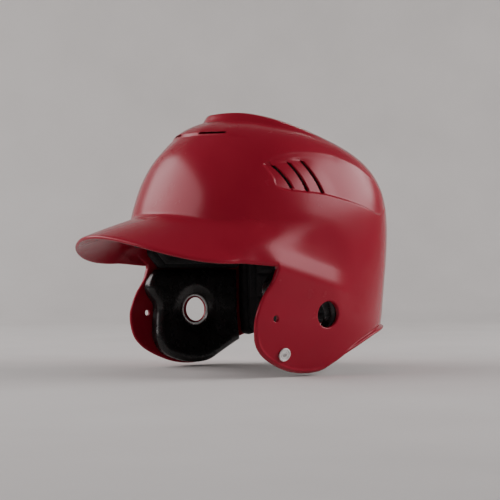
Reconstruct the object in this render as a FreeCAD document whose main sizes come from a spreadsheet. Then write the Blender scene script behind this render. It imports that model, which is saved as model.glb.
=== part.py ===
import FreeCAD, Part
import math
import os

from FreeCAD import Placement, Rotation, Vector

# Batting helmet with two ear flaps, in millimetres. +Z is up, the helmet faces -Y and the wearer's
# left is +X. The origin is the midpoint between the centres of the two ear holes.
# The shell is a free-form dome: one formula gives its outer face, and the wall, the liners and the
# pads are layers at set depths under that face, trimmed by outlines drawn in side view.

SIZES = {
    # free form of the outer face
    "shell_half_width": 96.6,
    "shell_front_reach": 120.0,
    "shell_rear_reach": 112.6,
    "crown_rise": 167.9,
    "crown_lean": 32.3,
    "crown_slope": 0.347,
    "plan_power": 2.33,
    "front_power": 3.5,
    "rear_power": 4.18,
    "flap_flatness": 2.4,
    "flap_taper": 0.114,
    "rear_taper": 0.045,
    # layers, as depths under the outer face
    "wall": 3.5,
    "glue_gap": 0.3,
    "liner_thickness": 8.5,
    "pad_thickness": 4.5,
    # raised and sunken areas of the shell
    "crown_sink": 3.6,
    "terrace_rise": 1.3,
    "ridge_rise": 1.9,
    "scoop_depth": 2.2,
    "rear_lip_height": 4.5,
    "rear_lip_flare": 3.2,
    # peak
    "peak_half_width": 92.4,
    "peak_centre_y": -87.8,
    "peak_reach": 80.0,
    "peak_side_height": 42.8,
    "peak_front_lift": 21.5,
    "peak_edge_thickness": 3.6,
    # openings
    "ear_hole_radius": 10.75,
    "pad_hole_radius": 15.5,
    "pad_hole_y": -13.0,
    "pad_hole_depth": 21.0,
    "guard_hole_radius": 2.5,
    "guard_hole_y": -54.0,
    "guard_hole_z": -2.4,
    "slot_width": 1.6,
    "crown_slot_length": 28.0,
    "crown_slot_depth": 30.0,
    "crown_slot_x": 25.0,
    "crown_slot_y": -66.0,
    "crown_slot_z": 150.4,
    "crown_slot_turn": 21.0,
    # chin strap snaps
    "snap_y": -42.3,
    "snap_z": -31.6,
    "snap_radius": 5.6,
    "snap_height": 1.9,
    "rivet_radius": 1.5,
    "rivet_head_radius": 3.2,
    "rivet_head_height": 0.8,
    "washer_radius": 5.2,
    "washer_thickness": 0.8,
    "fit_clearance": 0.1,
    "snap_pocket_radius": 6.4,
}

RING_COUNT = 31
RING_POINTS = 60
RING_LIMIT = math.radians(85)
BEYOND = 150.0

doc = FreeCAD.newDocument("batting_helmet")


def make_sheet():
    sheet = doc.addObject("Spreadsheet::Sheet", "Sizes")
    for row, (alias, value) in enumerate(SIZES.items(), start=1):
        sheet.set(f"A{row}", alias)
        sheet.set(f"B{row}", str(value))
        sheet.setAlias(f"B{row}", alias)
    doc.recompute()
    return sheet


SHEET = make_sheet()


def size(alias):
    return float(SHEET.get(alias))


def smoothstep(value):
    value = min(max(value, 0.0), 1.0)
    return value * value * (3 - 2 * value)


def ramp(value, start, end):
    """0 before start, 1 after end, smooth between."""
    return smoothstep((value - start) / (end - start))


class ShellForm:
    """The outer face of the dome: level() is 1 on it, less inside and more outside."""

    TEMPLE_TOP = 78.0
    TEMPLE_FALL = 38.0
    REAR_TAPER_TOP = 60.0
    REAR_TAPER_SPAN = 70.0
    FLAP_SPAN = 50.0
    BLEND_SPAN = 50.0
    LOW_END = 260.0
    SINK_FRONT = (-96.0, -72.0)
    SINK_REAR = (-25.0, 38.0)
    SINK_MIDDLE = (8.0, 30.0)
    SINK_SIDE = (44.0, 86.0)
    SINK_SIDE_EXTRA = 0.35
    RIDGE_REAR = (-5.0, 80.0)
    RIDGE_SIDE = (20.0, 64.0)

    def __init__(self, has_ridge=False):
        self.sizes = {name: size(name) for name in SIZES}
        self.has_ridge = has_ridge

    def sink(self, p):
        """How far the crown is sunk around the ridge."""
        across = 1 + self.SINK_SIDE_EXTRA * ramp(abs(p.x), *self.SINK_MIDDLE)
        across *= 1 - ramp(abs(p.x), *self.SINK_SIDE)
        along = ramp(p.y, *self.SINK_FRONT) * (1 - ramp(p.y, *self.SINK_REAR))
        return self.sizes["crown_sink"] * along * across

    def ridge(self, p):
        """How far the ridge stands above the dome, before any of it is sunk."""
        rise = self.sizes["ridge_rise"]
        return rise * (1 - ramp(p.y, *self.RIDGE_REAR)) * (1 - ramp(abs(p.x), *self.RIDGE_SIDE))

    def shifted(self, p):
        """The height at which the plain dome's formula is read."""
        if p.z <= 0:
            return p.z
        return p.z - self.ridge(p) if self.has_ridge else p.z + self.sink(p)

    def level(self, p):
        z = self.sizes
        p = Vector(p.x, p.y, self.shifted(p))
        rise = max(p.z, 0.0)
        drop = max(-p.z, 0.0)
        height = max(z["crown_rise"] - z["crown_slope"] * (p.y + 10), 30.0)
        vertical = rise / height + drop / self.LOW_END
        lean = z["crown_lean"] * min(rise / z["crown_rise"], 1.3) ** 2
        half_width = z["shell_half_width"] * (1 - z["flap_taper"] * (min(drop / self.FLAP_SPAN, 2)) ** 1.6)
        along = p.y - lean
        power = z["plan_power"]
        if along < 0:
            reach = z["shell_front_reach"]
            power += z["flap_flatness"] * smoothstep((self.TEMPLE_TOP - p.z) / self.TEMPLE_FALL)
        else:
            below = max(self.REAR_TAPER_TOP - p.z, 0.0) / self.REAR_TAPER_SPAN
            reach = z["shell_rear_reach"] * (1 - z["rear_taper"] * below ** 2)
        blend = 0.5 + 0.5 * math.tanh(along / self.BLEND_SPAN)
        upper_power = z["front_power"] * (1 - blend) + z["rear_power"] * blend
        plan = abs(p.x / half_width) ** power + abs(along / reach) ** power
        return plan ** (upper_power / power) + vertical ** upper_power

    def meet(self, start, heading, near=0.0, far=320.0):
        """The point where the line from start along heading leaves the form."""
        for _ in range(34):
            middle = (near + far) / 2
            if self.level(start + heading * middle) < 1:
                near = middle
            else:
                far = middle
        return start + heading * near

    def normal(self, p):
        step = 0.05
        slopes = [self.level(p + axis * step) - self.level(p - axis * step)
                  for axis in (Vector(1, 0, 0), Vector(0, 1, 0), Vector(0, 0, 1))]
        return Vector(*slopes).normalize()

    def ring(self, angle, depth, flat):
        """One closed section, made of the points that lie at the same angle from the ear axis."""
        points = []
        for index in range(RING_POINTS):
            turn = 2 * math.pi * index / RING_POINTS - math.pi / 2
            heading = Vector(math.sin(angle), -math.cos(angle) * math.cos(turn),
                             math.cos(angle) * math.sin(turn))
            point = self.meet(Vector(), heading)
            points.append(point - self.normal(point) * depth)
        if flat:
            level = sum(point.x for point in points) / len(points)
            points = [Vector(level, point.y, point.z) for point in points]
        curve = Part.BSplineCurve()
        knots = [index / RING_POINTS for index in range(RING_POINTS + 1)]
        curve.interpolate(Points=points, PeriodicFlag=True, Parameters=knots)
        return Part.Wire(curve.toShape())

    def solid(self, depth):
        """The whole form as a solid, its face moved in by depth (out where depth is negative)."""
        last = RING_COUNT - 1
        rings = [self.ring(RING_LIMIT * (2 * index / last - 1), depth, index in (0, last))
                 for index in range(RING_COUNT)]
        return Part.makeLoft(rings, True, False)


FORM = ShellForm()


def free_form(name, depth, form=FORM):
    feature = doc.addObject("Part::Feature", name)
    feature.Shape = form.solid(depth)
    return feature


def cut(name, base, *tools):
    for index, tool in enumerate(tools):
        step = doc.addObject("Part::Cut", name if index == len(tools) - 1 else f"{name}_step")
        step.Base = base
        step.Tool = tool
        base = step
    return base


def fuse(name, *shapes):
    feature = doc.addObject("Part::MultiFuse", name)
    feature.Shapes = list(shapes)
    return feature


def common(name, *shapes):
    feature = doc.addObject("Part::MultiCommon", name)
    feature.Shapes = list(shapes)
    return feature


def mirrored(name, source):
    feature = doc.addObject("Part::Mirroring", name)
    feature.Source = source
    feature.Normal = Vector(1, 0, 0)
    return feature


def origin_plane(body, role):
    return next(plane for plane in body.Origin.OriginFeatures if plane.Role == role)


def spline(points):
    curve = Part.BSplineCurve()
    curve.interpolate([Vector(a, b, 0) for a, b in points])
    return curve


def polyline(points):
    corners = [Vector(a, b, 0) for a, b in points]
    return [Part.LineSegment(a, b) for a, b in zip(corners, corners[1:])]


def closed_spline(points):
    curve = Part.BSplineCurve()
    curve.interpolate([Vector(a, b, 0) for a, b in points], PeriodicFlag=True)
    return [curve]


def prism(name, plane, geometry, length, midplane=False):
    """A body padded from a sketch: on YZ_Plane the sketch reads (y, z), on XY_Plane (x, y)."""
    body = doc.addObject("PartDesign::Body", name)
    sketch = body.newObject("Sketcher::SketchObject", f"{name}_sketch")
    sketch.AttachmentSupport = [(origin_plane(body, plane), "")]
    sketch.MapMode = "FlatFace"
    sketch.addGeometry(geometry, False)
    pad = body.newObject("PartDesign::Pad", f"{name}_pad")
    pad.Profile = sketch
    pad.setExpression("Length", length)
    if midplane:
        pad.Midplane = True
    return body


# ---------------------------------------------------------------- outlines, as (y, z) in side view

NOTCH_TOP = (-57.0, 42.5)
NOTCH = (-53.2, 37.5)

FACE_EDGE = [(-BEYOND, 73.0), (-122.0, 70.5), (-98.0, 65.0), (-76.0, 54.0), NOTCH_TOP]
FLAP_EDGE = [NOTCH, (-57.6, 27.0), (-66.5, 14.5), (-72.3, 0.0), (-73.0, -12.0), (-69.5, -25.0),
             (-58.5, -35.7), (-38.0, -45.0), (-19.0, -48.5), (0.0, -47.3), (14.0, -40.8),
             (30.0, -32.0), (52.0, -22.8), (80.0, -16.5), (BEYOND, -9.5)]


def shell_outline():
    corner = spline([NOTCH_TOP, (-54.2, 41.0), NOTCH])
    top = polyline([(BEYOND, -9.5), (BEYOND, 200.0), (-BEYOND, 200.0), (-BEYOND, 73.0)])
    return [spline(FACE_EDGE), corner, spline(FLAP_EDGE)] + top


def rear_lip_outline():
    rise = size("rear_lip_height")
    upper = [(14.0, -41.5), (32.0, -31.0 + rise * 0.8), (52.0, -22.8 + rise), (80.0, -16.5 + rise),
             (BEYOND, -9.5 + rise)]
    return [spline(upper)] + polyline([upper[-1], (BEYOND, -60.0), (14.0, -60.0), upper[0]])


SCOOP = [(-50.0, 124.0), (-40.0, 131.0), (-18.0, 135.5), (18.0, 134.0), (62.0, 118.0), (84.0, 92.0),
         (62.0, 84.0), (40.0, 90.5), (0.0, 98.5), (-40.0, 102.5)]

EAR_PAD = [(-48.0, 36.5), (-53.5, 31.5), (-58.0, 24.5), (-58.8, 18.0), (-55.0, 11.5), (-51.0, 6.5),
           (-49.5, 0.0), (-51.5, -14.0), (-52.0, -27.0), (-43.5, -40.0), (-20.0, -47.0),
           (0.0, -46.0), (16.0, -39.0), (37.0, -28.0)]

SLOTS = [((-43.1, 121.8), (-31.0, 103.5)), ((-29.2, 124.7), (-16.5, 101.4)),
         ((-16.6, 126.4), (-1.5, 100.1))]


def louvre_slots():
    """Three slanted slots, each a thin four-sided loop."""
    loops = []
    half = size("slot_width") / 2
    for top, bottom in SLOTS:
        loop = [(top[0] - half, top[1]), (top[0] + half, top[1]), (bottom[0] + half, bottom[1]),
                (bottom[0] - half, bottom[1])]
        loops += polyline(loop + loop[:1])
    return loops


# ---------------------------------------------------------------- peak

CREASE_HEIGHT = 82.0
CREASE_SLOPE = 0.42
CREASE_FRONT = -110.0
PEAK_END_TURN = 30.0
PEAK_SECTIONS = 25


def peak_edge(turn):
    """The peak's outer edge: an ellipse in front, then straight back to the temple."""
    angle = math.radians(min(abs(turn), 90.0))
    side = math.copysign(1, turn)
    lift = size("peak_front_lift") * math.cos(angle) ** 2.5
    x = size("peak_half_width") * math.sin(angle)
    y = size("peak_centre_y") - size("peak_reach") * math.cos(angle)
    height = size("peak_side_height") + lift
    back = max(abs(turn) - 90.0, 0.0) / PEAK_END_TURN
    return Vector(side * (x + 4.2 * back), y + 31.0 * back, height - 3.0 * back)


def crease_point(edge):
    """The crease between dome and peak, in line with the given edge point."""
    def at(share):
        y = -30.0 + (edge.y + 30.0) * share
        return Vector(edge.x * share, y, CREASE_HEIGHT - CREASE_SLOPE * (y - CREASE_FRONT))
    low, high = 0.2, 1.4
    for _ in range(34):
        middle = (low + high) / 2
        if FORM.level(at(middle)) < 1:
            low = middle
        else:
            high = middle
    return at(low)


def peak_section(turn):
    """One closed profile across the peak, rooted in the middle of the wall."""
    edge = peak_edge(turn)
    crease = crease_point(edge)
    outwards = FORM.normal(crease)
    root = crease - outwards * size("wall") * 0.5
    thickness = size("peak_edge_thickness")
    down = Vector(0, 0, -thickness)
    nose = (edge - root).normalize() * thickness * 0.45
    top = Part.LineSegment(root, edge).toShape()
    rim = Part.Arc(edge, edge + nose + down * 0.5, edge + down).toShape()
    under = Part.LineSegment(edge + down, root + down * 1.6).toShape()
    back = Part.LineSegment(root + down * 1.6, root).toShape()
    return Part.Wire([top, rim, under, back])


def make_peak():
    limit = 90.0 + PEAK_END_TURN
    turns = [limit * (2 * index / (PEAK_SECTIONS - 1) - 1) for index in range(PEAK_SECTIONS)]
    feature = doc.addObject("Part::Feature", "peak")
    feature.Shape = Part.makeLoft([peak_section(turn) for turn in turns], True, False)
    return feature


# ---------------------------------------------------------------- shell

TERRACE = [(0.0, -74.0), (22.0, -70.5), (42.0, -61.0), (50.0, -45.0), (42.0, -26.0), (0.0, -20.0),
           (-42.0, -26.0), (-50.0, -45.0), (-42.0, -61.0), (-22.0, -70.5)]
RIDGE = [(0.0, -51.0), (12.0, -49.0), (24.0, -42.5), (38.0, -30.5), (52.0, -14.5), (60.0, 4.0),
         (50.0, 24.0), (0.0, 34.0), (-50.0, 24.0), (-60.0, 4.0), (-52.0, -14.5), (-38.0, -30.5),
         (-24.0, -42.5), (-12.0, -49.0)]


def cross_drill(name, radius_alias, y_alias=None, z_alias=None):
    """A cylinder along X that goes through both ear flaps."""
    drill = doc.addObject("Part::Cylinder", name)
    drill.setExpression("Radius", f"Sizes.{radius_alias}")
    drill.Height = 2 * BEYOND
    drill.Placement = Placement(Vector(-BEYOND, 0, 0), Rotation(Vector(0, 1, 0), 90))
    if y_alias:
        drill.setExpression("Placement.Base.y", f"Sizes.{y_alias}")
        drill.setExpression("Placement.Base.z", f"Sizes.{z_alias}")
    return drill


def crown_slot(name, side):
    """A thin level slot at the foot of the terrace, on one side of the middle."""
    slot = doc.addObject("Part::Box", name)
    slot.setExpression("Length", "Sizes.crown_slot_length")
    slot.setExpression("Width", "Sizes.crown_slot_depth")
    slot.setExpression("Height", "Sizes.slot_width")
    middle = Vector(side * size("crown_slot_x"), size("crown_slot_y"), size("crown_slot_z"))
    turn = Rotation(Vector(0, 0, 1), side * size("crown_slot_turn"))
    corner = Vector(-size("crown_slot_length") / 2, -size("crown_slot_depth") / 3, 0)
    slot.Placement = Placement(middle + turn.multVec(corner), turn)
    return slot


def make_shell(outer, inner, raised, flared, high, sunken):
    through = "Sizes.shell_half_width * 2 + 60"
    tall = "Sizes.crown_rise + 30"
    side_view = prism("side_view", "YZ_Plane", shell_outline(), through, True)
    scoop = cut("scoop", prism("scoop_side", "YZ_Plane", closed_spline(SCOOP), through, True), sunken)
    dome = cut("dome", common("trimmed", cut("scooped", outer, scoop), side_view), inner)
    low_step = cut("low_step", raised, sunken)
    high_step = cut("high_step", high, sunken)
    lip_step = cut("lip_step", flared, sunken)
    terrace = common("terrace", low_step, prism("terrace_plan", "XY_Plane", closed_spline(TERRACE), tall))
    ridge = common("ridge", high_step, prism("ridge_plan", "XY_Plane", closed_spline(RIDGE), tall))
    lip_band = prism("rear_lip_side", "YZ_Plane", rear_lip_outline(), through, True)
    lip = common("rear_lip", lip_step, lip_band, side_view)
    slots = prism("louvres", "YZ_Plane", louvre_slots(), through, True)
    cutters = fuse("cutters", slots, crown_slot("left_crown_slot", 1), crown_slot("right_crown_slot", -1),
                   cross_drill("ear_drill", "ear_hole_radius"),
                   cross_drill("guard_drill", "guard_hole_radius", "guard_hole_y", "guard_hole_z"),
                   *snap_drills())
    return cut("shell", fuse("capped", dome, terrace, ridge, lip, make_peak()), cutters)


# ---------------------------------------------------------------- chin strap snaps


def snap_seat():
    """Where the left snap sits on the outer face, and the way that it points."""
    start = Vector(0, size("snap_y"), size("snap_z"))
    seat = FORM.meet(start, Vector(1, 0, 0))
    outwards = FORM.normal(seat)
    return Placement(seat, Rotation(Vector(0, 0, 1), outwards))


def snap_drills():
    left = doc.addObject("Part::Cylinder", "left_rivet_drill")
    left.setExpression("Radius", "Sizes.rivet_radius + Sizes.fit_clearance")
    left.setExpression("Height", "Sizes.wall * 5")
    left.Placement = snap_seat().multiply(Placement(Vector(0, 0, -2.5 * size("wall")), Rotation()))
    return left, mirrored("right_rivet_drill", left)


def turned_body(name, profile):
    """A body turned about its own Z axis from a closed profile of (radius, height) points."""
    body = doc.addObject("PartDesign::Body", name)
    sketch = body.newObject("Sketcher::SketchObject", f"{name}_sketch")
    sketch.AttachmentSupport = [(origin_plane(body, "XZ_Plane"), "")]
    sketch.MapMode = "FlatFace"
    sketch.addGeometry(profile, False)
    turned = body.newObject("PartDesign::Revolution", f"{name}_turned")
    turned.Profile = sketch
    turned.ReferenceAxis = (sketch, ["V_Axis"])
    turned.Angle = 360
    return body


def snap_profile():
    """A pressed cap: a rolled rim, a shallow dish and a raised button in the middle."""
    radius = size("snap_radius")
    height = size("snap_height")
    bore = size("rivet_radius") + size("fit_clearance")
    foot = size("fit_clearance")
    rim = Part.Arc(Vector(radius, foot + height * 0.3, 0), Vector(radius - 0.35, height * 0.85, 0),
                   Vector(radius - 1.1, height, 0))
    path = [(radius - 1.1, height), (radius - 1.9, height * 0.72), (bore + 1.4, height * 0.72),
            (bore + 0.9, height * 0.9), (bore, height * 0.9), (bore, foot), (radius, foot),
            (radius, foot + height * 0.3)]
    return [rim] + polyline(path)


def rivet_profile():
    """A shank through the wall and the washer, with a head inside and a set end in the cap."""
    shank = size("rivet_radius")
    inside = -(size("wall") + size("washer_thickness") + 3 * size("fit_clearance"))
    head = size("rivet_head_radius")
    tail = size("snap_height") * 0.85
    path = [(0.0, tail), (shank, tail), (shank, inside), (head, inside),
            (head * 0.8, inside - size("rivet_head_height")), (0.0, inside - size("rivet_head_height")),
            (0.0, tail)]
    return polyline(path)


def washer_profile():
    bore = size("rivet_radius") + size("fit_clearance")
    top = -(size("wall") + 2 * size("fit_clearance"))
    bottom = top - size("washer_thickness")
    radius = size("washer_radius")
    path = [(bore, top), (radius, top), (radius, bottom), (bore, bottom), (bore, top)]
    return polyline(path)


def make_snaps():
    parts = []
    for piece, profile in (("snap_stud", snap_profile()), ("snap_rivet", rivet_profile()),
                           ("snap_washer", washer_profile())):
        left = turned_body(f"left_{piece}", profile)
        left.Placement = snap_seat()
        parts += [left, mirrored(f"right_{piece}", left)]
    return parts


# ---------------------------------------------------------------- liners and pads

FRONT_REGION = [(-BEYOND, 78.0), (-106.0, 74.5), (-80.0, 64.0), (-67.0, 56.0), (-60.0, 108.0),
                (-BEYOND, 108.0)]
SIDE_REGION = [(-57.0, 48.0), (-47.0, 38.0), (41.0, 38.0), (41.0, 108.0), (-52.5, 108.0)]
REAR_REGION = [(44.0, -24.0), (60.0, -18.6), (90.0, -13.4), (BEYOND, -7.4), (BEYOND, 100.0),
               (44.0, 104.0)]
CROWN_REGION = [(-BEYOND, 111.0), (44.0, 111.0), (BEYOND, 103.0), (BEYOND, 200.0), (-BEYOND, 200.0)]
PAD_INSET = 3.0
REAR_GAP = 9.0


def inset(points, amount):
    """A smaller copy of a region, for the pad that lies on a liner."""
    middle_y = sum(point[0] for point in points) / len(points)
    middle_z = sum(point[1] for point in points) / len(points)
    return [(y - math.copysign(amount, y - middle_y), z - math.copysign(amount, z - middle_z))
            for y, z in points]


def left_prism(name, geometry):
    """A side-view prism that starts a little to the left of the middle plane."""
    body = prism(name, "YZ_Plane", geometry, "Sizes.shell_half_width + 30")
    body.Placement = Placement(Vector(REAR_GAP, 0, 0), Rotation())
    return body


def region_prism(name, points, one_sided):
    geometry = polyline(points + points[:1])
    if one_sided:
        return left_prism(name, geometry)
    return prism(name, "YZ_Plane", geometry, "Sizes.shell_half_width * 2 + 60", True)


def make_layer_parts(liner_layer, pad_layer):
    parts = []
    for name, layer, region in (("front_liner", liner_layer, FRONT_REGION),
                                ("front_pad", pad_layer, inset(FRONT_REGION, PAD_INSET)),
                                ("crown_liner", liner_layer, CROWN_REGION),
                                ("crown_pad", pad_layer, inset(CROWN_REGION, PAD_INSET)),
                                ("rear_liner", liner_layer, REAR_REGION)):
        parts.append(common(name, layer, region_prism(f"{name}_region", region, False)))
    for name, layer, region in (("side_liner", liner_layer, SIDE_REGION),
                                ("side_pad", pad_layer, inset(SIDE_REGION, PAD_INSET)),
                                ("rear_pad", pad_layer, inset(REAR_REGION, PAD_INSET))):
        left = common(f"left_{name}", layer, region_prism(f"{name}_region", region, True))
        parts += [left, mirrored(f"right_{name}", left)]
    return parts


def funnel_end(name, radius, across, forward):
    circle = doc.addObject("Part::Circle", name)
    circle.setExpression("Radius", radius)
    circle.Placement = Placement(Vector(), Rotation(Vector(0, 1, 0), 90))
    circle.setExpression("Placement.Base.x", across)
    circle.setExpression("Placement.Base.y", forward)
    return circle


def ear_funnel():
    """The hole through the left ear pad: it starts at the shell's ear hole and widens forward."""
    funnel = doc.addObject("Part::Loft", "ear_funnel")
    outside = funnel_end("funnel_outside", "Sizes.ear_hole_radius", "Sizes.shell_half_width", "0 mm")
    inside = funnel_end("funnel_inside", "Sizes.pad_hole_radius",
                        "Sizes.shell_half_width - Sizes.pad_hole_depth", "Sizes.pad_hole_y")
    funnel.Sections = [outside, inside]
    funnel.Solid = True
    funnel.Ruled = True
    return funnel


def make_ear_pads(thick_layer):
    outline = [spline(EAR_PAD)] + polyline([EAR_PAD[-1], (EAR_PAD[-1][0], EAR_PAD[0][1]), EAR_PAD[0]])
    region = left_prism("ear_region", outline)
    pocket = doc.addObject("Part::Cylinder", "snap_pocket")
    pocket.setExpression("Radius", "Sizes.snap_pocket_radius")
    pocket.setExpression("Height", "Sizes.wall + Sizes.washer_thickness + Sizes.rivet_head_height + 3")
    seat = snap_seat()
    depth = pocket.Height.Value - 2
    pocket.Placement = seat.multiply(Placement(Vector(0, 0, -depth), Rotation()))
    left = cut("left_ear_pad", common("ear_block", thick_layer, region), ear_funnel(), pocket)
    return [left, mirrored("right_ear_pad", left)]


# ---------------------------------------------------------------- document


def make_parts():
    wall = size("wall")
    liner_top = wall + size("glue_gap")
    liner_bottom = liner_top + size("liner_thickness")
    pad_top = liner_bottom + size("glue_gap")
    pad_bottom = pad_top + size("pad_thickness")
    depths = {"outer": 0.0, "inner": wall, "raised": -size("terrace_rise"),
              "flared": -size("rear_lip_flare"), "sunken": size("scoop_depth"), "liner_top": liner_top,
              "liner_bottom": liner_bottom, "pad_top": pad_top, "pad_bottom": pad_bottom}
    face = {name: free_form(f"{name}_form", depth) for name, depth in depths.items()}
    high = free_form("high_form", 0.0, ShellForm(has_ridge=True))
    shell = make_shell(face["outer"], face["inner"], face["raised"], face["flared"], high, face["sunken"])
    liner_layer = cut("liner_layer", face["liner_top"], face["liner_bottom"])
    pad_layer = cut("pad_layer", face["pad_top"], face["pad_bottom"])
    thick_layer = cut("thick_layer", face["liner_top"], face["pad_bottom"])
    return ([shell] + make_snaps() + make_layer_parts(liner_layer, pad_layer)
            + make_ear_pads(thick_layer))


def check(parts):
    doc.recompute()
    for feature in doc.Objects:
        if "Invalid" in feature.State or "Error" in feature.State:
            raise RuntimeError(f"{feature.Name} failed: {feature.State}")
    for part in parts:
        if part.Shape.isNull() or not part.Shape.isValid():
            raise RuntimeError(f"{part.Name} has no valid shape")


def write(parts):
    os.makedirs("parts", exist_ok=True)
    for part in parts:
        part.Shape.exportStep(f"parts/{part.Label}.step")
        solids = len(part.Shape.Solids)
        print(f"{part.Label:20s} solids {solids}  volume {part.Shape.Volume / 1000:8.2f} cm3")


PARTS = make_parts()
check(PARTS)
write(PARTS)
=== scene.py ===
import math

import bpy
import numpy as np
from mathutils import Matrix, Vector


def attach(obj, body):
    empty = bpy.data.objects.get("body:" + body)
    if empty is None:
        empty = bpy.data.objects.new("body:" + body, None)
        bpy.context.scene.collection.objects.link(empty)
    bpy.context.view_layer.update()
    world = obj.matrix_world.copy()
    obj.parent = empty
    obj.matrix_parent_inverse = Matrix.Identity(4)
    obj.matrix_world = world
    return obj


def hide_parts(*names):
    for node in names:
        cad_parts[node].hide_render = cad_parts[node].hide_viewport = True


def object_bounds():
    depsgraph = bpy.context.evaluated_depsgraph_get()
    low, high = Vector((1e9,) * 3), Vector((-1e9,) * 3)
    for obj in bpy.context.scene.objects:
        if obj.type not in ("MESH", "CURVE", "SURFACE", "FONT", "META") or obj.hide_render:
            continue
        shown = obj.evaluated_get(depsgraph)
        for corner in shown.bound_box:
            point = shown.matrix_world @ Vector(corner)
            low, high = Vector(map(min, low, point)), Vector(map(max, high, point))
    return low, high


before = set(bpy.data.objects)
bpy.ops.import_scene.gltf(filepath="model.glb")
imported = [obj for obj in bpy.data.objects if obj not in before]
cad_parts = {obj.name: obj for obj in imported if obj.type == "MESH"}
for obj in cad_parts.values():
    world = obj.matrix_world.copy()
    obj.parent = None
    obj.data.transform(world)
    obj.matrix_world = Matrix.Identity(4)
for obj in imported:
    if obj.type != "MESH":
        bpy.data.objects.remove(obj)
cad_low, cad_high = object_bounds()

# A batting helmet. The shape functions work in millimetres in the CAD model's frame: +Z up, the helmet
# faces -Y, the origin midway between the ear holes. Meshes are scaled to metres as they are made.
MM = 0.001
SIDE_START = 40.0       # relief of the sides is left off nearer to the middle plane than this


# ------------------------------------------------------------------ small helpers

def smoothstep(value):
    value = np.clip(value, 0.0, 1.0)
    return value * value * (3 - 2 * value)


def ramp(value, start, end):
    """0 before start, 1 after end, smooth between; start may be the larger."""
    return smoothstep((value - start) / (end - start))


def soft_max(a, b, radius):
    """The larger of two fields, with the edge between them rounded to about radius."""
    blend = np.clip(radius - np.abs(a - b), 0.0, None) / np.maximum(radius, 1e-6)
    return np.maximum(a, b) + blend * blend * radius * 0.25


def soft_min(a, b, radius):
    """The smaller of two fields, rounded in the same way."""
    return -soft_max(-a, -b, radius)


def smooth_path(points, closed=False, steps=10):
    """A Catmull-Rom curve through points, as a dense polyline."""
    p = np.array(points, float)
    if closed:
        p = np.vstack([p[-1:], p, p[:2]])
    else:
        p = np.vstack([2 * p[0] - p[1], p, 2 * p[-1] - p[-2]])
    share = np.arange(steps)[:, None] / steps
    pieces = []
    for a, b, c, d in zip(p, p[1:], p[2:], p[3:]):
        pieces.append(0.5 * (2 * b + (c - a) * share + (2 * a - 5 * b + 4 * c - d) * share ** 2
                             + (3 * b - a - 3 * c + d) * share ** 3))
    if not closed:
        pieces.append(p[-2:-1])
    return np.vstack(pieces)


def gradient(field, points, step=0.25):
    """The field's slope at each point, by central differences."""
    slopes = []
    for axis in np.eye(3):
        ahead, behind = points + axis * step, points - axis * step
        slopes.append((field(*ahead.T) - field(*behind.T)) / (2 * step))
    return np.stack(slopes, 1)


class Outline:
    """Signed distance to a closed outline, negative inside, read from a table."""

    def __init__(self, points, low, high, step=0.5):
        self.low, self.step = np.array(low, float), step
        self.count = ((np.array(high) - self.low) / step).astype(int) + 1
        a, b = [self.low[k] + step * np.arange(self.count[k]) for k in (0, 1)]
        a, b = np.meshgrid(a, b, indexing="ij")
        best = np.full(a.shape, 1e9)
        inside = np.zeros(a.shape, bool)
        for p, q in zip(points, np.roll(points, -1, axis=0)):
            run = q - p
            length = run @ run
            if length < 1e-9:
                continue
            share = np.clip(((a - p[0]) * run[0] + (b - p[1]) * run[1]) / length, 0, 1)
            best = np.minimum(best, (a - p[0] - share * run[0]) ** 2 + (b - p[1] - share * run[1]) ** 2)
            crosses = (p[1] > b) != (q[1] > b)
            if abs(run[1]) > 1e-12:
                inside ^= crosses & (a < p[0] + (b - p[1]) / run[1] * run[0])
        self.table = np.where(inside, -1, 1) * np.sqrt(best)

    def __call__(self, a, b):
        i = np.clip((a - self.low[0]) / self.step, 0, self.count[0] - 1.001)
        j = np.clip((b - self.low[1]) / self.step, 0, self.count[1] - 1.001)
        i0, j0 = i.astype(int), j.astype(int)
        u, v = i - i0, j - j0
        t = self.table
        return ((t[i0, j0] * (1 - u) + t[i0 + 1, j0] * u) * (1 - v)
                + (t[i0, j0 + 1] * (1 - u) + t[i0 + 1, j0 + 1] * u) * v)


# ------------------------------------------------------------------ the dome's form

HALF_WIDTH = 96.6
FRONT_REACH = 120.0
REAR_REACH = 112.6
CROWN_RISE = 167.9
CROWN_LEAN = 32.3       # how far the crown leans back
CROWN_SLOPE = 0.347     # how fast its top falls towards the back
DIP_DEPTH = 3.6
DROP_REACH = 260.0
FLAP_TUCK = 0.114
NAPE_TUCK = 0.045
PLAN_POWER = 2.33
BROW_SQUARING = 2.4
FRONT_FULLNESS, REAR_FULLNESS = 3.5, 4.18
WALL = 3.5


def crown_dip(x, y):
    """How far the front of the crown is sunk, around the ridge."""
    across = (1 + 0.35 * ramp(np.abs(x), 8.0, 30.0)) * (1 - ramp(np.abs(x), 44.0, 86.0))
    return DIP_DEPTH * ramp(y, -96.0, -72.0) * (1 - ramp(y, -25.0, 38.0)) * across


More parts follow.
